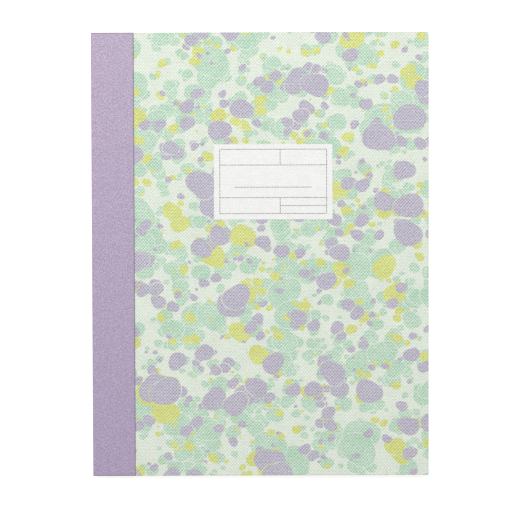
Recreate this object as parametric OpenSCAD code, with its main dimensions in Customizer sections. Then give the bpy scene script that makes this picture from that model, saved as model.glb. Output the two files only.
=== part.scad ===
// Quarter-bound, section-sewn notebook with flush-cut stiff covers, lying closed on its back.
// X runs from the spine to the fore edge, Y from the tail to the head, Z up. Millimetres.

/* [Book] */
// Spine to fore edge, over the tape
book_w = 148; // [120:1:220]
// Tail to head
book_h = 195; // [160:1:300]
// Rounding of the fore-edge corners left by the trimming knife
corner_r = 0.5; // [0.2:0.1:6]

/* [Leaves] */
// Folded sections sewn together
sections = 5; // [3:1:8]
// Folded sheets nested in each section, two leaves to a sheet
sheets = 4; // [3:1:6]
// Thickness of one leaf
leaf_t = 0.13; // [0.1:0.01:0.2]
// Thickness of the folded endpapers
endpaper_t = 0.15; // [0.12:0.01:0.25]

/* [Covers] */
// Grey board
board_t = 1.2; // [0.8:0.1:2.5]
// Printed paper pasted over the board
cover_paper_t = 0.15; // [0.12:0.01:0.3]
// Easing of the board along the spine edge
edge_r = 0.5; // [0.3:0.05:0.8]
// Slack between a closed cover and the leaves
cover_gap = 0.05; // [0.03:0.01:0.3]

/* [Spine] */
// Cloth tape round the spine
tape_t = 0.2; // [0.15:0.01:0.4]
// Width of tape seen on each cover
tape_w = 18.8; // [12:0.1:40]
// Paper lining glued to the backs of the sections
lining_t = 0.2; // [0.15:0.01:0.4]
// Sewing thread
thread_d = 0.24; // [0.2:0.02:0.4]
// Stitches along the height of the spine
stitches = 6; // [3:1:9]

/* [Label] */
// Label width
label_w = 52; // [35:1:65]
// Label height
label_h = 33; // [24:1:45]
// Label paper and its glue
label_t = 0.1; // [0.08:0.01:0.2]
// Centre of the label from the spine, as a share of the book's width
label_x = 0.539; // [0.5:0.01:0.6]
// Centre of the label from the head, as a share of the book's height
label_y = 0.336; // [0.25:0.01:0.5]
// Width of the printed frame on the label
frame_w = 46.9; // [30:0.1:60]
// Height of the printed frame
frame_h = 28.2; // [20:0.1:40]
// Width of the printed lines
rule_w = 0.22; // [0.15:0.01:0.5]

/* [Marbling] */
// Drops of mint colour, under the others
mint_drops = 92; // [10:1:120]
// Drops of lime colour
lime_drops = 42; // [10:1:80]
// Drops of lilac colour, over the others
lilac_drops = 88; // [10:1:120]
// How far a middling drop spreads from its centre
drop_r = 4.4; // [3:0.1:6]
// Pale vein left where two drops of a colour meet
vein = 0.2; // [0.1:0.05:0.5]
// Height of the printed colour above the paper
ink_t = 0.04; // [0.03:0.01:0.1]

/* [Hidden] */
leaves = sections * sheets * 2;
block_t = leaves * leaf_t;
section_t = block_t / sections;
leaf_gap = 0.03;
spine_x = -book_w / 2;
fore_x = book_w / 2;
lining_x = spine_x + tape_t;
glue_x = lining_x + lining_t;
glue_t = thread_d + 0.06;
fold_x = glue_x + glue_t;
cover_t = endpaper_t + board_t + cover_paper_t;
closed_t = cover_t + tape_t;
back_hinge_z = closed_t;
back_fly_z = back_hinge_z + cover_gap;
pages_z = back_fly_z + endpaper_t - leaf_gap / 2;
front_fly_z = pages_z + block_t - leaf_gap / 2;
front_hinge_z = front_fly_z + endpaper_t + cover_gap;
label_cx = spine_x + label_x * book_w;
label_cy = book_h / 2 - label_y * book_h;
paper_x = spine_x + tape_w;
paper_w = book_w - tape_w;
edge_d = 0.25;
row_top = frame_h * 0.245;
row_foot = frame_h * 0.248;
column_x = -frame_w / 2 + frame_w * 0.565;

// A sheet cut flush with the book from x to the fore edge, its fore-edge corners eased.
module sheet(x, t, inset = 0) {
  r = corner_r;
  far = fore_x - inset;
  high = book_h / 2 - inset;
  linear_extrude(t)
    union() {
      translate([x, -high])
        square([far - r - x, 2 * high]);
      translate([far - r - 1, -high + r])
        square([r + 1, 2 * (high - r)]);
      for (side = [-1, 1])
        translate([far - r, side * (high - r)])
          circle(r, $fn = 48);
    }
}

// Any outline drawn in X and Z, run from tail to head.
module along_spine(inset = 0) {
  translate([0, book_h / 2 - inset, 0])
    rotate([90, 0, 0])
      linear_extrude(book_h - 2 * inset)
        children();
}

// A slab with one rounded back, as paper folded over: its fold at x, its middle at height z.
module folded_outline(x, z, half, inset = edge_d / 2) {
  translate([x + half, z])
    circle(half, $fn = 48);
  translate([x + half, z - half])
    square([fore_x - x - half - inset, 2 * half]);
}

// The folded sheets of one section, nested one inside the next with a hair of air between.
module section_outline(z) {
  for (i = [1:sheets])
    difference() {
      folded_outline(fold_x + (sheets - i) * leaf_t, z, i * leaf_t - leaf_gap / 2);
      if (i > 1)
        folded_outline(fold_x + (sheets - i + 1) * leaf_t, z, (i - 1) * leaf_t + leaf_gap / 2);
    }
}

// The leaves as one solid: folded sheets at the trimmed edges, closed up solid a little way in.
module pages() {
  color("#f4f1e6")
    union() {
      along_spine()
        for (s = [1:sections])
          difference() {
            section_outline(pages_z + (s - 0.5) * section_t);
            translate([fold_x + leaf_t, pages_z + (s - 0.5) * section_t - leaf_gap / 2])
              square([book_w, leaf_gap]);
          }
      along_spine(edge_d) {
        for (s = [1:sections])
          folded_outline(fold_x + leaf_t / 2, pages_z + (s - 0.5) * section_t,
            section_t / 2 - leaf_t / 2, edge_d);
        translate([fold_x + section_t / 2, pages_z + leaf_t / 2])
          square([fore_x - edge_d - fold_x - section_t / 2, block_t - leaf_t]);
      }
    }
}

// One stitch across the backs of the sections at each sewing station.
module stitch_line(r) {
  for (i = [1:stitches])
    translate([glue_x + glue_t / 2, book_h * (i / (stitches + 1) - 0.5), pages_z + leaf_gap / 2])
      cylinder(h = block_t - leaf_gap, r = r, $fn = 24);
}

module sewing_thread() {
  color("#efece2")
    stitch_line(thread_d / 2);
}

// Glue that fills the valleys between the rounded backs and beds the stitches.
module spine_glue() {
  color("#f2efe4")
    difference() {
      along_spine()
        difference() {
          translate([glue_x, pages_z + leaf_gap / 2])
            square([glue_t + section_t * 0.4, block_t - leaf_gap]);
          for (s = [1:sections])
            folded_outline(fold_x - 0.02, pages_z + (s - 0.5) * section_t, section_t / 2 + 0.02);
        }
      stitch_line(thread_d / 2 + 0.01);
    }
}

module spine_lining() {
  color("#e9e4d6")
    along_spine()
      translate([lining_x, back_fly_z])
        square([lining_t, front_fly_z + endpaper_t - back_fly_z]);
}

module spine_tape() {
  color("#b8a9c2")
    along_spine()
      translate([spine_x, back_hinge_z])
        square([tape_t, front_hinge_z - back_hinge_z]);
}

// The free half of each folded endpaper, its fold glued to the lining.
module flyleaf() {
  color("#f6f4ec")
    sheet(glue_x, endpaper_t);
}

module front_flyleaf() {
  translate([0, 0, front_fly_z])
    flyleaf();
}

module back_flyleaf() {
  translate([0, 0, back_fly_z])
    flyleaf();
}

// A cover's height starts at 0 on its inner face. The back cover is the same stack turned over.
module at_front() {
  translate([0, 0, front_hinge_z])
    children();
}

module at_back() {
  translate([0, 0, back_hinge_z])
    mirror([0, 0, 1])
      children();
}

// Section of a cover with its outer spine edge rounded to r.
module eased_outline(x, far, top, r) {
  translate([x, 0])
    square([far - x, top - r]);
  translate([x + r, 0])
    square([far - x - r, top]);
  translate([x + r, top - r])
    circle(r, $fn = 48);
}

module eased_sheet(z, t) {
  intersection() {
    translate([0, 0, z])
      sheet(lining_x, t);
    along_spine(-1)
      eased_outline(lining_x, fore_x + 1, cover_t, edge_r);
  }
}

module board() {
  color("#a9a59b")
    eased_sheet(endpaper_t, board_t);
}

module cover_paper() {
  color("#e4eee0")
    eased_sheet(endpaper_t + board_t, cover_paper_t);
}

module pastedown() {
  color("#f6f4ec")
    sheet(lining_x, endpaper_t);
}

// Cloth bent over the board's spine edge, with its cut edge lying on the cover paper.
module cover_tape() {
  color("#b8a9c2")
    along_spine()
      difference() {
        eased_outline(spine_x, paper_x, closed_t, edge_r + tape_t);
        translate([0, -1])
          eased_outline(lining_x, fore_x, cover_t + 1, edge_r);
      }
}

module front_board() { at_front() board(); }
module front_cover_paper() { at_front() cover_paper(); }
module front_tape() { at_front() cover_tape(); }
module front_pastedown() { at_front() pastedown(); }
module back_board() { at_back() board(); }
module back_cover_paper() { at_back() cover_paper(); }
module back_tape() { at_back() cover_tape(); }
module back_pastedown() { at_back() pastedown(); }

// Printed label on the front, with its lines of ink.
module at_label(z) {
  at_front()
    translate([label_cx, label_cy, cover_t + z])
      children();
}

module label() {
  color("#f3f3ee")
    at_label(0)
      linear_extrude(label_t)
        square([label_w, label_h], center = true);
}

module rule_across(x0, x1, y) {
  translate([x0 - rule_w / 2, y - rule_w / 2])
    square([x1 - x0 + rule_w, rule_w]);
}

module rule_up(x, y0, y1) {
  translate([x - rule_w / 2, y0 - rule_w / 2])
    square([rule_w, y1 - y0 + rule_w]);
}

module label_rules() {
  w = frame_w / 2;
  h = frame_h / 2;
  color("#6f6a60")
    at_label(label_t)
      translate([0, 0.2])
        linear_extrude(ink_t) {
          for (y = [-h, row_foot - h, h - row_top, h])
            rule_across(-w, w, y);
          for (x = [-w, w])
            rule_up(x, -h, h);
          rule_up(column_x, -h, row_foot - h);
          rule_up(column_x, h - row_top, h);
          rule_across(column_x, w, row_foot / 2 - h);
          rule_across(-frame_w * 0.36, frame_w * 0.36, frame_h * -0.09);
        }
}

// Stone marbling. Drops of colour are thrown on a bath of thickened water in small groups, the
// larger ones last. Each spreads unevenly, and it dents the earlier drops of its colour.
MINT = 1;
LIME = 2;
LILAC = 4;

function part_of(v) = v - floor(v);

function chance(k, what, bath) = part_of(sin(k * 127.1 + what * 311.7 + bath * 74.7) * 43758.5453);

// Where a drop falls along one side of the sheet: its group is set down in even steps round the
// whole length, then moved a little by chance, and the drop moves a little within its group.
function fallen(length, start, step, group, drop, what, bath) =
  (part_of(start + step * group) - 0.5) * (length + 1.8 * drop_r)
  + (chance(group + 500 * drop[1], what + 5, bath) - 0.5) * 5.9 * drop_r
  + (chance(drop[0] + 1000 * drop[1], what, bath) - 0.5) * 3.9 * drop_r;

// Drops of one colour as [x, y, reach, turn of its oval, turn of its three lobes].
function thrown(count, colour, small, large, bath) = [
  for (k = [1:1:count])
    let (group = ceil(k / 2), n = k + 1000 * colour)
      [
        fallen(paper_w, 0.31 * bath + 0.17 * colour, 0.7548776662, group, [k, colour], 1, bath),
        fallen(book_h, 0.53 * bath + 0.29 * colour, 0.569840291, group, [k, colour], 2, bath),
        drop_r * small * pow(large / small, k / count),
        90 + 200 * (chance(n, 4, bath) - 0.5),
        360 * chance(n, 5, bath)
      ]
];

function mint(bath) = thrown(mint_drops, MINT, 0.77, 1.77, bath);
function lime(bath) = thrown(lime_drops, LIME, 0.55, 1.36, bath);
function lilac(bath) = thrown(lilac_drops, LILAC, 0.57, 1.55, bath);

function reach_at(drop, a) =
  drop[2] * (1 + 0.12 * sin(2 * a + drop[3]) + 0.06 * sin(3 * a + drop[4]));

function points_round(drop) = drop[2] < 0.75 * drop_r ? 7 : drop[2] < 1.15 * drop_r ? 9 : 11;

// A drop's outline, its corners as far outside the true curve as its sides are inside.
function outline(drop, grow) =
  let (n = points_round(drop), out = 2 / (1 + cos(180 / n)))
    [
      for (i = [0:n - 1])
        let (a = 360 * i / n, r = (reach_at(drop, a) + grow) * out)
          [drop.x + r * cos(a), drop.y + r * sin(a)]
    ];

function on_sheet(drop) =
  abs(drop.x) < paper_w / 2 + drop[2] * 0.8 && abs(drop.y) < book_h / 2 + drop[2] * 0.8;

function meet(a, b) = norm([a.x - b.x, a.y - b.y]) < 1.2 * (a[2] + b[2]);

module whole_drops(drops) {
  for (drop = drops)
    if (on_sheet(drop))
      polygon(outline(drop, 0));
}

module dented_drops(drops) {
  for (k = [0:len(drops) - 1])
    if (on_sheet(drops[k]))
      difference() {
        polygon(outline(drops[k], -vein / 2));
        for (j = [k + 1:1:len(drops) - 1])
          if (meet(drops[k], drops[j]))
            polygon(outline(drops[j], vein / 2));
      }
}

// One colour of the print, on the paper that shows, less what other colours and the label cover.
module print_of(drops, covers, labelled) {
  linear_extrude(ink_t)
    difference() {
      intersection() {
        translate([(paper_x + fore_x) / 2, 0])
          dented_drops(drops);
        translate([paper_x, -book_h / 2])
          square([paper_w - corner_r, book_h]);
      }
      translate([(paper_x + fore_x) / 2, 0])
        whole_drops(covers);
      if (labelled)
        translate([label_cx, label_cy])
          square([label_w, label_h], center = true);
    }
}

// The front and back papers are cut from two different sheets.
FRONT = 3;
BACK = 2;

module front_print(drops, covers) {
  at_front()
    translate([0, 0, cover_t])
      print_of(drops, covers, true);
}

module back_print(drops, covers) {
  at_back()
    translate([0, 0, cover_t])
      print_of(drops, covers, false);
}

module front_mint_print() {
  color("#bfdcc4")
    front_print(mint(FRONT), concat(lime(FRONT), lilac(FRONT)));
}

module front_lime_print() {
  color("#d7de97")
    front_print(lime(FRONT), lilac(FRONT));
}

module front_lilac_print() {
  color("#bfb5c8")
    front_print(lilac(FRONT), []);
}

module back_mint_print() {
  color("#bfdcc4")
    back_print(mint(BACK), concat(lime(BACK), lilac(BACK)));
}

module back_lime_print() {
  color("#d7de97")
    back_print(lime(BACK), lilac(BACK));
}

module back_lilac_print() {
  color("#bfb5c8")
    back_print(lilac(BACK), []);
}

pages();
sewing_thread();
spine_glue();
spine_lining();
spine_tape();
front_flyleaf();
back_flyleaf();
front_board();
front_cover_paper();
front_mint_print();
front_lime_print();
front_lilac_print();
front_tape();
front_pastedown();
label();
label_rules();
back_board();
back_cover_paper();
back_mint_print();
back_lime_print();
back_lilac_print();
back_tape();
back_pastedown();
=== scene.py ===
import math

import bpy
import numpy as np
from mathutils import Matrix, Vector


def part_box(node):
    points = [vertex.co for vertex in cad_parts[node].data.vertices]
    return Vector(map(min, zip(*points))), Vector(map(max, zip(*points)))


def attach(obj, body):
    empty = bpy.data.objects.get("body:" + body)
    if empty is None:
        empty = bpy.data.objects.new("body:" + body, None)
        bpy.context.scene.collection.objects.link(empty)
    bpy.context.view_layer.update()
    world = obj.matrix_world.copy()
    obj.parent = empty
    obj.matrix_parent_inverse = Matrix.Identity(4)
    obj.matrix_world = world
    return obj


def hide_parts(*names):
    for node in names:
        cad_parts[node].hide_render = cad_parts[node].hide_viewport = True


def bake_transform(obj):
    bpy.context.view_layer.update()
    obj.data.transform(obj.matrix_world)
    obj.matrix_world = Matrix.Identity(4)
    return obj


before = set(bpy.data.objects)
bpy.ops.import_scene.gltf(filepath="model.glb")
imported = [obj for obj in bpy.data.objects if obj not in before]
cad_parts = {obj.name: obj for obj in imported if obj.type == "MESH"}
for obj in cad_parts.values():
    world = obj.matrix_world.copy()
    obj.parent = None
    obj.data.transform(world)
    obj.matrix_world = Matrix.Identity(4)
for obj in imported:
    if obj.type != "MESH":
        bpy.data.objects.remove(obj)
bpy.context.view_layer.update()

# The sewn leaves
# Forty leaves of uncoated off-white paper, folded into five sections and trimmed on three sides.
# The trimmed edges show as fine lines of painted shade, a little darker where a leaf lies slightly
# back.


def linear(code):
    """The linear red, green, blue, alpha of an sRGB colour given as six hex digits.

    A channel c, 0 to 1, becomes c / 12.92 up to 0.04045 and ((c + 0.055) / 1.055) ** 2.4 above.
    """
    c = np.array([int(code[i : i + 2], 16) for i in (0, 2, 4)]) / 255
    c = np.where(c <= 0.04045, c / 12.92, ((c + 0.055) / 1.055) ** 2.4)
    return (*(float(v) for v in c), 1.0)


def node(tree, kind, *inputs, out=0, **settings):
    """Adds a shader node with its settings and links, and returns one of its outputs.

    The inputs are fed in order, or by number if they come as one dict. None leaves one alone.
    TexNoise takes a place, W, scale, detail and roughness. MapRange takes a value, the two ends
    of the range that it has, and the two ends of the range that it gets.
    """
    made = tree.nodes.new("ShaderNode" + kind)
    for name, value in settings.items():
        setattr(made, name, value)
    fed = inputs[0] if inputs and isinstance(inputs[0], dict) else dict(enumerate(inputs))
    for number, value in fed.items():
        if isinstance(value, bpy.types.NodeSocket):
            tree.links.new(value, made.inputs[number])
        elif value is not None:
            made.inputs[number].default_value = value
    return made.outputs[out]


def layered(tree, ground, *coats):
    """A ground colour under coats of (share, colour), each one below * (1 - share) + colour * share."""
    for share, colour in coats:
        ground = node(tree, "Mix", {0: share, 6: ground, 7: colour}, out=2, data_type="RGBA")
    return ground


def material(name, roughness=0.8, specular=0.25):
    """A new material with a constant roughness and specular level, and its node tree."""
    made = bpy.data.materials.new(name)
    made.use_nodes = True
    shader = made.node_tree.nodes["Principled BSDF"]
    shader.inputs["Roughness"].default_value = roughness
    shader.inputs["Specular IOR Level"].default_value = specular
    return made, made.node_tree


def finished(made, colour, height, depth, strength=1.0):
    """Gives a material its colour, and a relief of the height, 0 to 1, times a depth in metres."""
    shader = made.node_tree.nodes["Principled BSDF"]
    made.node_tree.links.new(colour, shader.inputs["Base Color"])
    relief = node(made.node_tree, "Bump", {0: strength, 1: depth, 3: height})
    made.node_tree.links.new(relief, shader.inputs["Normal"])
    return made


def millimetres(tree, per_x=1.0, per_y=None, per_z=None):
    """Object coordinates in millimetres over a length for each axis, or over the first for all."""
    scale = [1000 / (per or per_x) for per in (per_x, per_y, per_z)]
    return node(tree, "VectorMath", node(tree, "TexCoord", out=3), scale, operation="MULTIPLY")


def wear(obj, made):
    """Gives the object this material and no other."""
    obj.data.materials.clear()
    obj.data.materials.append(made)


def leaf_paper():
    """Uncoated bamboo paper cut in a stack: soft fibre mottle, and painted shade lines up the cut edges
    alone.

    The lines lie as far apart as a leaf is thick, 0.13 mm. An edge is where the face looks
    neither up nor down.
    """
    made, tree = material("bamboo leaf paper", roughness=0.85, specular=0.15)
    fibre = node(tree, "TexNoise", millimetres(tree, 1.6, 1.6, 0.5), None, 1.0, 4.0, 0.6)
    leaves = node(tree, "TexNoise", millimetres(tree, 40, 40, 0.13), None, 1.0, 2.0, 0.5)
    facing = node(tree, "SeparateXYZ", node(tree, "TexCoord", out=1), out=2)
    facing = node(tree, "Math", facing, operation="ABSOLUTE")
    trimmed = node(tree, "MapRange", facing, 0.2, 0.8, 1.0, 0.0)
    paper = layered(
        tree,
        linear("f5f1e2"),
        # Painted shade: lines a leaf apart on the cut edges, darker where a leaf lies back.
        (node(tree, "MapRange", leaves, 0.35, 0.6, trimmed, 0.0), linear("d8d1bd")),
        (node(tree, "MapRange", fibre, 0.3, 0.7, 0.0, 0.12), linear("d8d1bd")),
    )
    return finished(made, paper, fibre, 0.00002, 0.5)


wear(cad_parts["pages"], leaf_paper())

# Thread, glue and spine lining
# The sections are sewn together across their backs, glued, and lined with a strip of kraft paper.
# All three are hidden under the cloth, apart from their ends at the head and tail.


def plain_fibre(name, light, dark, size, roughness=0.8):
    """Plain fibrous or dried stuff: two tones in one mottle of the given size in millimetres."""
    made, tree = material(name, roughness)
    grain = node(tree, "TexNoise", millimetres(tree, size), None, 1.0, 5.0, 0.65)
    share = node(tree, "MapRange", grain, 0.3, 0.7, 0.0, 1.0)
    return finished(made, layered(tree, linear(dark), (share, linear(light))), grain, 0.00003)


wear(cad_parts["sewing_thread"], plain_fibre("linen thread", "efeadb", "cfc7b2", 0.3))
wear(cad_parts["spine_glue"], plain_fibre("dried binding glue", "eee9d9", "dcd5c0", 1.5, 0.45))
wear(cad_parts["spine_lining"], plain_fibre("spine lining paper", "e6dfcb", "cbc1a8", 0.8))

# Endpapers
# One folded sheet of heavy paper at each end: half pasted down inside the cover, half a free
# flyleaf tipped to the sewn leaves. The fold crosses the hinge.

board_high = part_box("front_board")[1]
fly_low, fly_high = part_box("front_flyleaf")
pastedown_low, pastedown_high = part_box("front_pastedown")
hinge_top = pastedown_low.z
hinge_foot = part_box("back_pastedown")[1].z
spine_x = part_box("front_tape")[0].x
fore_x = board_high.x
book_h = board_high.y * 2


def mesh_piece(name, points, faces, materials, shades=None, smooth=True):
    """A mesh object from numpy points in metres, a list of faces and each face's material."""
    mesh = bpy.data.meshes.new(name)
    mesh.from_pydata(points, [], faces)
    for m in materials:
        mesh.materials.append(m)
    if shades is not None:
        mesh.polygons.foreach_set("material_index", np.asarray(shades, np.int32))
    mesh.polygons.foreach_set("use_smooth", np.full(len(mesh.polygons), smooth))
    mesh.update()
    made = bpy.data.objects.new(name, mesh)
    bpy.context.scene.collection.objects.link(made)
    return made


def store(mesh, name, values, kind="FLOAT", domain="POINT"):
    """Keeps a number or a vector for each point or corner, under a name that a material reads."""
    layer = mesh.attributes.new(name, kind, domain)
    field = "vector" if kind == "FLOAT_VECTOR" else "value"
    layer.data.foreach_set(field, np.asarray(values, np.float32).ravel())


def swept_sheet(name, outline, y, stock, waver=None, smooth=True):
    """A closed outline of (x, z) points swept through the y values, capped at both ends.

    Row j, point i is (x_i, y_j, z_i), with waver(grid) added if it is given. The outline runs
    out along one face and back along the other, so the caps join point i to point n - 1 - i.
    """
    n, rows = len(outline), len(y)
    grid = np.empty((rows, n, 3))
    grid[:, :, 0], grid[:, :, 2] = outline[:, 0], outline[:, 1]
    grid[:, :, 1] = y[:, None]
    if waver is not None:
        grid += waver(grid)
    j, i = np.meshgrid(np.arange(rows - 1), np.arange(n), indexing="ij")
    k = (i + 1) % n
    sides = np.stack([j * n + i, j * n + k, (j + 1) * n + k, (j + 1) * n + i], -1)
    i = np.arange(n // 2 - 1)
    cap = np.stack([i, i + 1, n - 2 - i, n - 1 - i], -1)
    faces = np.vstack([sides.reshape(-1, 4), cap[:, ::-1], cap + (rows - 1) * n])
    return mesh_piece(name, grid.reshape(-1, 3), faces.tolist(), [stock], smooth=smooth)


def turned(outline):
    """A front outline turned over for the back: z becomes the sum of the hinge heights less z."""
    return outline[::-1] * (1, -1) + (0, hinge_foot + hinge_top)


def endpaper_outline():
    """The front endpaper's section as (x, z) points, and how near the fold each is, 0 to 1.

    It runs in under the flyleaf, round the fold by (-cos, sin) of -90 to 90 degrees, out over the
    pastedown, and in and out again along the gap. The fold has no point within 0.1 mm of the gap,
    and the gap ends square, so an opened sheet lies straight across the hinge. Nearness falls
    evenly from 1 at the gap's end to 0 at the creased length.
    """
    middle = (fly_low.z + pastedown_high.z) / 2
    radius = (pastedown_high.z - fly_low.z) / 2
    half_gap = (pastedown_low.z - fly_high.z) / 2
    fold_x = fly_low.x + radius
    creased = 0.0009
    bare = math.asin((half_gap + 0.0001) / radius)
    below = np.linspace(-math.pi / 2, -bare, 12)[1:]
    turn = np.append(below, np.linspace(bare, math.pi / 2, 12)[:-1])
    far = np.linspace(fore_x, fold_x, 60)
    plain = np.linspace(fore_x, fold_x + creased + 0.0003, 65)
    within = np.append(plain, np.linspace(fold_x + creased, fold_x - half_gap, 6))
    outer_face = np.vstack(
        [
            np.c_[far, np.full(len(far), fly_low.z)],
            np.c_[fold_x - radius * np.cos(turn), middle + radius * np.sin(turn)],
            np.c_[far[::-1], np.full(len(far), pastedown_high.z)],
        ]
    )
    inner_face = np.vstack(
        [
            np.c_[within, np.full(len(within), pastedown_low.z)],
            np.c_[within[::-1], np.full(len(within), fly_high.z)],
        ]
    )
    near = np.clip(1 - (within - within[-1]) / creased, 0, 1)
    return np.vstack([outer_face, inner_face]), np.r_[np.zeros(len(outer_face)), near, near[::-1]]


def endpaper_stock():
    """Heavy uncoated paper with a soft fibre mottle, greyer along the fold by broken fibres and painted
    shade.
    """
    made, tree = material("heavy uncoated endpaper", roughness=0.85)
    fibre = node(tree, "TexNoise", millimetres(tree, 1.6), None, 1.0, 5.0, 0.65)
    crease_and_gutter_shade = node(tree, "Attribute", out=2, attribute_name="crease_and_gutter_shade")
    paper = layered(
        tree,
        linear("e9e5da"),
        (node(tree, "MapRange", fibre, 0.3, 0.7, 0.0, 1.0), linear("efece3")),
        # Greyer at the fold: the crease's broken fibres with painted gutter shade.
        (node(tree, "MapRange", crease_and_gutter_shade, 0.0, 1.0, 0.0, 0.45), linear("b9b3a5")),
    )
    return finished(made, paper, fibre, 0.00002)


uncoated = endpaper_stock()
endpaper_rows = np.linspace(-0.5, 0.5, 3) * book_h
for side in ("front", "back"):
    outline, near_fold = endpaper_outline()
    if side == "back":
        outline, near_fold = turned(outline), near_fold[::-1]
    sheet = swept_sheet(f"{side}_endpaper", outline, endpaper_rows, uncoated, smooth=False)
    store(sheet.data, "crease_and_gutter_shade", np.tile(near_fold, len(endpaper_rows)))
    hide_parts(f"{side}_flyleaf", f"{side}_pastedown")
    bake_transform(sheet)

# Boards
# Grey board of pressed waste pulp, 1.2 mm thick, one inside each cover. It is faced with paper and
# cloth and then cut flush with the leaves on three sides, so its raw edge shows there.


def grey_board():
    """Pulp pressed in layers: streaks along the board's plane, speckled with darker fibres."""
    made, tree = material("grey board", roughness=0.9, specular=0.1)
    streaks = node(tree, "TexNoise", millimetres(tree, 3.0, 3.0, 0.25), None, 1.0, 6.0, 0.7)
    specks = node(tree, "TexNoise", millimetres(tree, 0.35, 0.35, 0.2), None, 1.0, 2.0, 0.5)
    tone = layered(
        tree,
        linear("8f8b80"),
        (node(tree, "MapRange", streaks, 0.3, 0.7, 0.0, 1.0), linear("b5b0a4")),
        (node(tree, "MapRange", specks, 0.62, 0.72, 0.0, 0.6), linear("6d6960")),
    )
    return finished(made, tone, streaks, 0.00006)


pulp = grey_board()
wear(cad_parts["front_board"], pulp)
wear(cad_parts["back_board"], pulp)

# Marbled cover papers
# Stone-marbled paper pasted over the boards: drops of mint, lime and lilac on a pale ground, each
# colour over the last, pressed with a fine linen grain. Fine drops fill in round the part's own.

MINT, LIME, LILAC = 1, 2, 4
paper_low, paper_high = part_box("front_cover_paper")
tape_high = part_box("front_tape")[1]
paper_x = tape_high.x
paper_w = (fore_x - paper_x) * 1000
sheet_h = book_h * 1000

# In millimetres: a middling drop's radius, how far past the sheet's edges the drops are thrown and
# scatter, how far off its drop a seam is kept, and the distance that stands for no drop near.
drop_r = 4.4
spill, group_scatter, own_scatter = 1.8 * drop_r, 5.9 * drop_r, 3.9 * drop_r
seam_reach = 0.5
far_off = 9.0


def chance(k, what, bath):
    """The fraction of 43758.5453 sin(127.1 k + 311.7 what + 74.7 bath), the angle in degrees."""
    v = np.sin(np.radians(k * 127.1 + what * 311.7 + bath * 74.7)) * 43758.5453
    return v - np.floor(v)


def thrown(count, colour, small, large, bath, again=0):
    """Drops as rows of x, y, reach, turn of the oval, turn of the three lobes, in mm and radians.

    Groups of two step round the sheet by the plastic number's powers and scatter by chance. The
    reach grows from drop_r * small to drop_r * large, so the larger drops come last.
    """
    k = np.arange(1, count + 1)
    group, n = np.ceil(k / 2), k + 1000 * colour + 137 * again
    place = []
    for length, start, step, what in (
        (paper_w, 0.31 * bath + 0.17 * colour, 0.7548776662, 1),
        (sheet_h, 0.53 * bath + 0.29 * colour, 0.569840291, 2),
    ):
        even = start + 0.37 * again * what + step * group
        place.append(
            (even - np.floor(even) - 0.5) * (length + spill)
            + (chance(group + 500 * colour + 77 * again, what + 5, bath) - 0.5) * group_scatter
            + (chance(n, what, bath) - 0.5) * own_scatter
        )
    reach = drop_r * small * (large / small) ** (k / count)
    oval = np.radians(90 + 200 * (chance(n, 4, bath) - 0.5))
    return np.c_[place[0], place[1], reach, oval, np.radians(360 * chance(n, 5, bath))]


def outside(x, y, drop):
    """Distance past a drop's outline, reach * (1 + 0.12 sin(2a + oval) + 0.06 sin(3a + lobes))."""
    cx, cy, reach, oval, lobes = drop
    a = np.arctan2(y - cy, x - cx)
    edge = reach * (1 + 0.12 * np.sin(2 * a + oval) + 0.06 * np.sin(3 * a + lobes))
    return np.hypot(x - cx, y - cy) - edge


def spread(x, y, drops):
    """The distance outside the nearest drop, negative inside, and the last drop within 0.5 mm.

    Only the points in a box round a drop are measured. It holds the outline and 1.2 mm more.
    """
    nearest, top = np.full(len(x), far_off), np.full(len(x), -1)
    for k, drop in enumerate(drops):
        reach = drop[2] * 1.2 + 1.2
        near = np.flatnonzero((np.abs(x - drop[0]) < reach) & (np.abs(y - drop[1]) < reach))
        away = outside(x[near], y[near], drop)
        nearest[near] = np.minimum(nearest[near], away)
        top[near[away < seam_reach]] = k
    return nearest, top


def print_colour(mesh, name, drops, centre_x):
    """Stores how far each point is outside a colour, and how far each corner is off a seam.

    A face's seam is the outline of the last drop that reaches it, so it stays a straight line
    inside the face and may change from one face to the next. The corners go by fours. Those of
    the one large face underneath come last and are only grouped with them, as it can't be seen.
    """
    points = np.empty(len(mesh.vertices) * 3, np.float32)
    mesh.vertices.foreach_get("co", points)
    x, y = points.reshape(-1, 3)[:, :2].astype(float).T * 1000 - [[centre_x], [0]]
    corners = np.empty(len(mesh.loops), np.int32)
    mesh.loops.foreach_get("vertex_index", corners)
    quads = corners[: len(corners) // 4 * 4].reshape(-1, 4)
    top = spread(x[quads].mean(1), y[quads].mean(1), drops)[1].repeat(4)
    seam = np.full(len(corners), far_off)
    met = np.flatnonzero(top >= 0)
    seam[met] = outside(x[corners[met]], y[corners[met]], drops[top[met]].T)
    store(mesh, name, spread(x, y, drops)[0])
    store(mesh, name + "_seam", seam, domain="CORNER")


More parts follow.
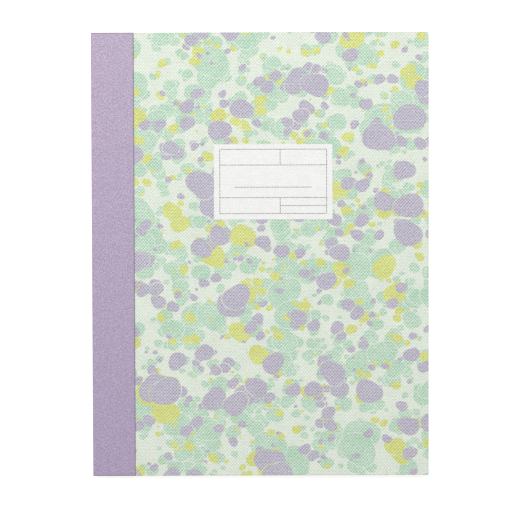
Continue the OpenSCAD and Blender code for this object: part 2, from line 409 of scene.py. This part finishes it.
def linen_grain(tree):
    """A pressed twill: waves 0.98 mm apart rising to the right, weaker ones crossing, and fibres.

    Each wave is strength * sin(2 pi (per_x x + per_y y) + 1.6 wander), x and y in mm. The real
    grain is about half as wide, which is too fine to show in a render of this size.
    """
    x, y = (node(tree, "SeparateXYZ", millimetres(tree), out=i) for i in (0, 1))
    wander = node(tree, "TexNoise", millimetres(tree, 5), None, 1.0, 2.0, 0.5)
    worn = node(tree, "TexNoise", millimetres(tree, 1.7), None, 1.0, 1.0, 0.5)
    worn = node(tree, "MapRange", worn, 0.35, 0.65, 0.6, 1.4)
    fibre = node(tree, "TexNoise", millimetres(tree, 0.8), None, 1.0, 2.0, 0.7)
    fibre = node(tree, "MapRange", fibre, 0.3, 0.7, -0.6, 0.6)
    waves = []
    for per_x, per_y, strength in ((0.745, -0.69, 0.54), (0.745, 0.7, 0.28), (0.02, 0.68, 0.12)):
        phase = node(tree, "Math", x, 2 * math.pi * per_x, operation="MULTIPLY")
        phase = node(tree, "Math", y, 2 * math.pi * per_y, phase, operation="MULTIPLY_ADD")
        phase = node(tree, "Math", wander, 1.6, phase, operation="MULTIPLY_ADD")
        wave = node(tree, "Math", phase, operation="SINE")
        waves.append(node(tree, "Math", wave, strength, operation="MULTIPLY"))
    grain = node(tree, "Math", waves[0], waves[1], operation="ADD")
    grain = node(tree, "Math", grain, waves[2], operation="ADD")
    return node(tree, "Math", grain, worn, fibre, operation="MULTIPLY_ADD")


def marbled_paper():
    """Printed cover paper pressed with a linen grain, greyed over its last 0.6 mm at head, tail and
    fore edge.

    An ink ends 0.11 to 0.21 mm inside its outline, which a noise moves by up to 0.42 mm, and it
    leaves a pale vein along each seam. Brightness is multiplied by 1 + grain * contrast, and the
    ground and each ink have a contrast of their own.
    """
    made, tree = material("linen-grained marbled paper", roughness=0.72, specular=0.3)
    ragged = node(tree, "TexNoise", millimetres(tree, 2.6), None, 1.0, 4.0, 0.62)
    ragged = node(tree, "MapRange", ragged, 0.2, 0.8, -0.42, 0.42)
    cloud = node(tree, "TexNoise", millimetres(tree, 7), None, 1.0, 3.0, 0.6)
    cloud = node(tree, "MapRange", cloud, 0.3, 0.7, 0.0, 1.0)
    mottle = node(tree, "TexNoise", millimetres(tree, 0.5), None, 1.0, 3.0, 0.7)
    grain = linen_grain(tree)
    colour = layered(tree, linear("d4dcd0"), (cloud, linear("dce3d6")))
    contrast = 0.18
    for name, full, thin, ink_contrast in (
        ("mint", "aecdb5", "bfd7c3", 0.34),
        ("lime", "c9ce77", "d2d888", 0.28),
        ("lilac", "b2adbc", "b9b5c2", 0.40),
    ):
        field = node(tree, "Attribute", out=2, attribute_name=name)
        seam = node(tree, "Attribute", out=2, attribute_name=name + "_seam")
        seam = node(tree, "Math", seam, operation="ABSOLUTE")
        seam = node(tree, "Math", seam, -1.0, operation="MULTIPLY")
        edge = node(tree, "Math", field, ragged, operation="ADD")
        edge = node(tree, "Math", edge, seam, operation="MAXIMUM")
        inside = node(tree, "MapRange", edge, -0.11, -0.21, 0.0, 1.0)
        ink = layered(tree, linear(full), (cloud, linear(thin)))
        colour = layered(tree, colour, (inside, ink))
        contrast = node(tree, "Mix", inside, None, contrast, ink_contrast)
    shade = node(tree, "Math", grain, contrast, 1.0, operation="MULTIPLY_ADD")
    colour = node(tree, "HueSaturation", {2: shade, 4: colour})
    x, y = (node(tree, "SeparateXYZ", millimetres(tree), out=i) for i in (0, 1))
    y = node(tree, "Math", y, operation="ABSOLUTE")
    ends = node(tree, "MapRange", y, sheet_h / 2 - 0.6, sheet_h / 2 - 0.1, 0.0, 0.16)
    fore = node(tree, "MapRange", x, fore_x * 1000 - 0.6, fore_x * 1000 - 0.1, 0.0, 0.16)
    colour = layered(
        tree,
        colour,
        (node(tree, "MapRange", mottle, 0.35, 0.65, 0.0, 0.06), linear("ffffff")),
        # Greyer over the last 0.6 mm at the head, tail and fore edge.
        (node(tree, "Math", ends, fore, operation="MAXIMUM"), linear("77766c")),
    )
    return finished(made, colour, grain, 0.00001, 0.5)


def cover_sheet():
    """The front cover paper as a closed sheet: points, printed faces, side faces and the foot's.

    The grid is fine where the print shows and coarse under the tape. At the two fore corners a
    point past the centre of a 0.5 mm circle is pulled in along its radius as far as the circle.
    At the spine the sheet bends over the board: the height falls by 0.5 - sqrt(0.5^2 - past^2),
    where past is how far the point lies beyond the centre of the bend. That comes to the sheet's
    thickness of 0.15 mm where it is 0.357 mm beyond, so the sheet ends there.
    """
    ease, bend_w = 0.0005, 0.000357
    bend_x = paper_low.x + bend_w
    hidden = np.array([0.0, 0.00015, bend_w, 0.004, 0.009, 0.014]) + paper_low.x
    x = np.concatenate([hidden, np.linspace(paper_x - 0.0003, fore_x, 236)])
    y = np.linspace(-book_h / 2, book_h / 2, 356)
    gx, gy = np.meshgrid(x, y)
    cx, cy = fore_x - ease, book_h / 2 - ease
    over = np.hypot(np.maximum(gx - cx, 0), np.maximum(np.abs(gy) - cy, 0))
    pull = np.where((gx > cx) & (np.abs(gy) > cy), np.minimum(1, ease / np.maximum(over, 1e-9)), 1)
    gx = np.where(pull < 1, cx + (gx - cx) * pull, gx)
    gy = np.where(pull < 1, np.sign(gy) * (cy + (np.abs(gy) - cy) * pull), gy)
    past = np.maximum(bend_x - gx, 0)
    gz = paper_high.z - (ease - np.sqrt(np.maximum(ease**2 - past**2, 0)))
    n, m = gx.shape
    top = np.stack([gx, gy, gz], -1).reshape(-1, 3)
    j, i = np.meshgrid(np.arange(n - 1), np.arange(m - 1), indexing="ij")
    a = (j * m + i).ravel()
    printed = np.stack([a, a + 1, a + m + 1, a + m], -1)
    ring = np.concatenate(
        [
            np.arange(m),
            np.arange(1, n) * m + m - 1,
            (n - 1) * m + np.arange(m - 2, -1, -1),
            np.arange(n - 2, 0, -1) * m,
        ]
    )
    foot = top[ring].copy()
    foot[:, 2] = paper_low.z
    below = n * m + np.arange(len(ring))
    walls = np.stack([ring, below, np.roll(below, -1), np.roll(ring, -1)], -1)
    return np.vstack([top, foot]), printed, walls, below[::-1]


marbled_stock = [marbled_paper(), plain_fibre("cut paper edge", "f3f2ea", "dcd9cc", 0.4)]
points, printed, walls, underside = cover_sheet()
shades = np.append(np.zeros(len(printed)), np.ones(len(walls) + 1))
print_x = 1000 * (paper_x + fore_x) / 2
for side, bath in (("front", 3), ("back", 2)):
    placed, quads, under = points, np.vstack([printed, walls]), underside
    if side == "back":
        placed = points * (1, 1, -1) + (0, 0, hinge_foot + hinge_top)
        quads, under = quads[:, ::-1], under[::-1]
    faces = [*quads.tolist(), under.tolist()]
    paper = mesh_piece(f"{side}_marbled_paper", placed, faces, marbled_stock, shades, smooth=False)
    for name, fine, own in (
        ("mint", thrown(900, MINT, 0.25, 0.95, bath, 1), thrown(92, MINT, 0.77, 1.77, bath)),
        ("lime", thrown(560, LIME, 0.09, 0.62, bath, 1), thrown(42, LIME, 0.55, 1.36, bath)),
        ("lilac", thrown(330, LILAC, 0.2, 0.78, bath, 1), thrown(88, LILAC, 0.57, 1.55, bath)),
    ):
        print_colour(paper.data, name, np.vstack([fine, own]), print_x)
    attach(paper, f"{side}_cover")
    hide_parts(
        f"{side}_cover_paper",
        f"{side}_mint_print", f"{side}_lime_print", f"{side}_lilac_print",
    )

# Cloth tape
# One strip of lilac bookcloth glued round the spine and over both covers. It is made in two
# halves that meet at the middle of the spine.


def bookcloth():
    """Dyed plain-weave cloth, slubbed along each thread, clouded in hue, greyed at its cut edges.

    A thread's height is sin(pi along / apart), and the weave is warp times weft, so the warp lies
    over where it is positive. The threads are 0.59 and 0.86 mm apart, about twice the real ones,
    which are too fine to show in a render of this size. Painted shade greys the cut edges, along
    with fraying, and darkens the cloth a little towards the tail.
    """
    made, tree = material("lilac bookcloth", roughness=0.78, specular=0.2)
    tree.nodes["Principled BSDF"].inputs["Sheen Weight"].default_value = 0.1
    cloth = node(tree, "Attribute", out=1, attribute_name="cloth")
    u, v = (node(tree, "SeparateXYZ", cloth, out=i) for i in (0, 1))
    threads, heights = [], []
    for along, apart in ((u, 0.59), (v, 0.86)):
        turn = node(tree, "Math", along, math.pi / apart, operation="MULTIPLY")
        thread = node(tree, "Math", turn, operation="SINE")
        threads.append(thread)
        heights.append(node(tree, "Math", thread, thread, operation="MULTIPLY"))
    weave = node(tree, "Math", *threads, operation="MULTIPLY")
    over = node(tree, "MapRange", weave, -0.2, 0.2, 0.0, 1.0)
    slubs = []
    for per_millimetre in ((3.4, 1.9, 1.0), (1.9, 3.4, 1.0)):
        way = node(tree, "VectorMath", cloth, per_millimetre, operation="MULTIPLY")
        slubs.append(node(tree, "TexNoise", way, None, 1.0, 2.0, 0.7))
    fine = node(tree, "Mix", over, None, slubs[1], slubs[0])
    cloud = node(tree, "TexNoise", cloth, None, 0.5, 3.0, 0.6)
    fray_and_shade = node(tree, "Attribute", out=2, attribute_name="fray_and_shade")
    fray_and_shade = node(tree, "Math", fine, 0.5, fray_and_shade, operation="MULTIPLY_ADD")
    tone = layered(
        tree,
        linear("b6abc4"),
        (node(tree, "MapRange", cloud, 0.35, 0.65, 0.0, 1.0), linear("bba8bf")),
        (node(tree, "MapRange", fine, 0.3, 0.55, 0.8, 0.0), linear("7d6c88")),
        (node(tree, "MapRange", fine, 0.46, 0.68, 0.0, 0.92), linear("e9ddef")),
        (node(tree, "MapRange", weave, -1.0, 1.0, 0.0, 0.22), linear("705f7a")),
        # Painted shade: the cloth darkens a little towards the tail, away from the lamp.
        (node(tree, "MapRange", v, -100.0, 100.0, 0.2, 0.0), linear("75549a")),
        # Fraying and painted shade: the cut edges grey over their last half millimetre.
        (node(tree, "MapRange", fray_and_shade, 0.45, 1.15, 0.0, 0.8), linear("635f5f")),
    )
    height = node(tree, "Mix", over, None, heights[1], heights[0])
    return finished(made, tone, height, 0.00006, 0.6)


def tape_outline():
    """The front half of the tape as (x, z) points, and each point's length along the strip in mm.

    The inner face has no point within one thickness of the hinge and the outer face none within
    two, which leaves the cloth room to fold double there, below the endpaper. Both faces have
    as many points. The length is the sum of the outer face's steps from the spine's middle.
    """
    thick = tape_high.z - paper_high.z
    bend, edge = 0.0005, 0.00005
    mid = (hinge_foot + hinge_top) / 2
    corner = np.array([spine_x + thick + bend, paper_high.z - bend])
    quarter = np.linspace(math.pi, math.pi / 2, 15)[1:, None]
    lip = np.linspace(math.pi / 2, 0, 5)[1:, None]
    up, up_within = (
        np.r_[np.linspace(mid, hinge_top - gap, 28), np.linspace(hinge_top + gap, corner[1], 12)]
        for gap in (2 * thick, thick)
    )
    over = np.linspace(corner[0], paper_x - edge, 60)[1:]
    over_within = np.linspace(corner[0], paper_x, 64)
    outer_face = np.vstack(
        [
            np.c_[np.full(len(up), spine_x), up],
            corner + (bend + thick) * np.hstack([np.cos(quarter), np.sin(quarter)]),
            np.c_[over, np.full(len(over), tape_high.z)],
            (paper_x - edge, tape_high.z - edge) + edge * np.hstack([np.cos(lip), np.sin(lip)]),
        ]
    )
    inner_face = np.vstack(
        [
            np.c_[np.full(len(up_within), spine_x + thick), up_within],
            corner + bend * np.hstack([np.cos(quarter), np.sin(quarter)])[:-1],
            np.c_[over_within, np.full(len(over_within), paper_high.z)],
        ]
    )
    steps = np.hypot(*np.diff(outer_face, axis=0).T)
    run = np.concatenate([[0], np.cumsum(steps)]) * 1000
    return np.vstack([outer_face, inner_face[::-1]]), np.concatenate([run, run[::-1]])


def cut_wander(grid):
    """Moves the tape's cut edge by up to 0.04 mm: a sum of three sines along the strip."""
    y = grid[:, :, 1] * 1000
    wave = np.sin(y * 0.11) + 0.6 * np.sin(y * 0.53 + 1) + 0.4 * np.sin(y * 2.3 + 2)
    near = np.clip((grid[:, :, 0] - paper_x) * 1000 + 1, 0, 1)
    move = np.zeros_like(grid)
    move[:, :, 0] = -0.00002 * near * (1 + wave / 2)
    return move


# Rows of points lie closer at the head and tail, where the cloth greys over its last half
# millimetre by fraying and painted shade. It greys less there than along its two long edges.
cloth_stock = bookcloth()
front_outline, run = tape_outline()
near_end = np.linspace(0, 0.0009, 7)
inset = 0.0015
tape_rows = np.concatenate(
    [
        near_end - book_h / 2,
        np.linspace(inset - book_h / 2, book_h / 2 - inset, 250),
        book_h / 2 - near_end[::-1],
    ]
)
for side in ("front", "back"):
    outline, length, towards, hinge = front_outline, run, 1, hinge_top
    if side == "back":
        outline = turned(front_outline)
        length, towards, hinge = -run[::-1], -1, hinge_foot
    tape = swept_sheet(f"{side}_cloth_tape", outline, tape_rows, cloth_stock, cut_wander)
    along, across = np.meshgrid(length, tape_rows * 1000)
    store(tape.data, "cloth", np.stack([along, across, 0 * along], -1), "FLOAT_VECTOR")
    from_side = np.abs(np.abs(along) - run.max())
    from_end = sheet_h / 2 - np.abs(across)
    # The cut edges grey over their last half millimetre, by fraying and painted shade.
    side_fray_and_shade = np.clip((0.5 - from_side) / 0.3, 0, 1)
    end_fray_and_shade = 0.8 * np.clip((0.55 - from_end) / 0.3, 0, 1)
    store(tape.data, "fray_and_shade", np.maximum(side_fray_and_shade, end_fray_and_shade))
    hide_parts(f"{side}_tape", *(["spine_tape"] if side == "front" else []))
    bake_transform(tape)

# Label
# A smooth white paper label cut square and pasted flat on the marbled paper. It is printed in one
# olive-black ink with a frame and rows to write in.


def label_paper():
    """Smooth machine-finished paper that has taken a little of the cover's pressed grain."""
    made, tree = material("label paper", roughness=0.6, specular=0.35)
    mottle = node(tree, "TexNoise", millimetres(tree, 2.5), None, 1.0, 4.0, 0.6)
    grain = linen_grain(tree)
    mottle = node(tree, "MapRange", mottle, 0.3, 0.7, 0.0, 1.0)
    tone = layered(tree, linear("e6e6e4"), (mottle, linear("ececeb")))
    shade = node(tree, "Math", grain, 0.09, 1.0, operation="MULTIPLY_ADD")
    tone = node(tree, "HueSaturation", {2: shade, 4: tone})
    return finished(made, tone, grain, 0.000006)


def label_ink():
    """Olive-black offset ink rubbed off the crests of the grain, down to a quarter of its colour."""
    made, tree = material("olive-black printing ink", roughness=0.5, specular=0.4)
    grain = linen_grain(tree)
    rubbed = node(tree, "MapRange", grain, -0.3, 0.4, 0.0, 0.75)
    tone = layered(tree, linear("3f3c34"), (rubbed, linear("c9c8c0")))
    return finished(made, tone, grain, 0.000006)


wear(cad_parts["label"], label_paper())
wear(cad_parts["label_rules"], label_ink())

# Table, light and camera
# A white table, a pale surround and one broad soft lamp beyond the head, as in a small studio.
# The camera looks down from a metre, 2.3 degrees off upright and turned by a sixth of a degree.


def white_table():
    """White laminate that keeps its shadows, lifted a little for the camera alone."""
    made, tree = material("white table top", roughness=0.9, specular=0.1)
    shader = tree.nodes["Principled BSDF"]
    mottle = node(tree, "TexNoise", millimetres(tree, 30), None, 1.0, 2.0, 0.5)
    tone = layered(tree, linear("f4f4f4"), (mottle, linear("f7f7f7")))
    tree.links.new(tone, shader.inputs["Base Color"])
    shader.inputs["Emission Color"].default_value = (1, 1, 1, 1)
    lift = node(tree, "Math", node(tree, "LightPath"), 0.5, operation="MULTIPLY")
    tree.links.new(lift, shader.inputs["Emission Strength"])
    return made


table_corners = np.array([[-3, -3, 0], [3, -3, 0], [3, 3, 0], [-3, 3, 0]], float)
table = mesh_piece("table", table_corners, [[0, 1, 2, 3]], [white_table()])

world = bpy.data.worlds.new("studio")
bpy.context.scene.world = world
world.use_nodes = True
surround = world.node_tree.nodes["Background"]
surround.inputs["Color"].default_value = (1, 1, 1, 1)
surround.inputs["Strength"].default_value = 0.57

lamp = bpy.data.lights.new("softbox", "AREA")
lamp.shape, lamp.size, lamp.energy = "SQUARE", 0.9, 6.0
softbox = bpy.data.objects.new("softbox", lamp)
bpy.context.scene.collection.objects.link(softbox)
softbox.location = (-0.1, 0.5, 0.7)
softbox.rotation_euler = (math.radians(-34), 0, 0)

camera = bpy.data.cameras.new("camera")
camera.sensor_width, camera.lens = 36, 159.0
viewer = bpy.data.objects.new("camera", camera)
bpy.context.scene.collection.objects.link(viewer)
distance = 0.99
tilt = math.radians(2.3)
aim = np.array([-0.0022, -0.00015, board_high.z])
viewer.location = aim + distance * np.array([0, math.sin(tilt), math.cos(tilt)])
viewer.rotation_euler = (-tilt, 0, math.radians(-0.165))
bpy.context.scene.camera = viewer
bpy.context.scene.view_settings.view_transform = "Standard"
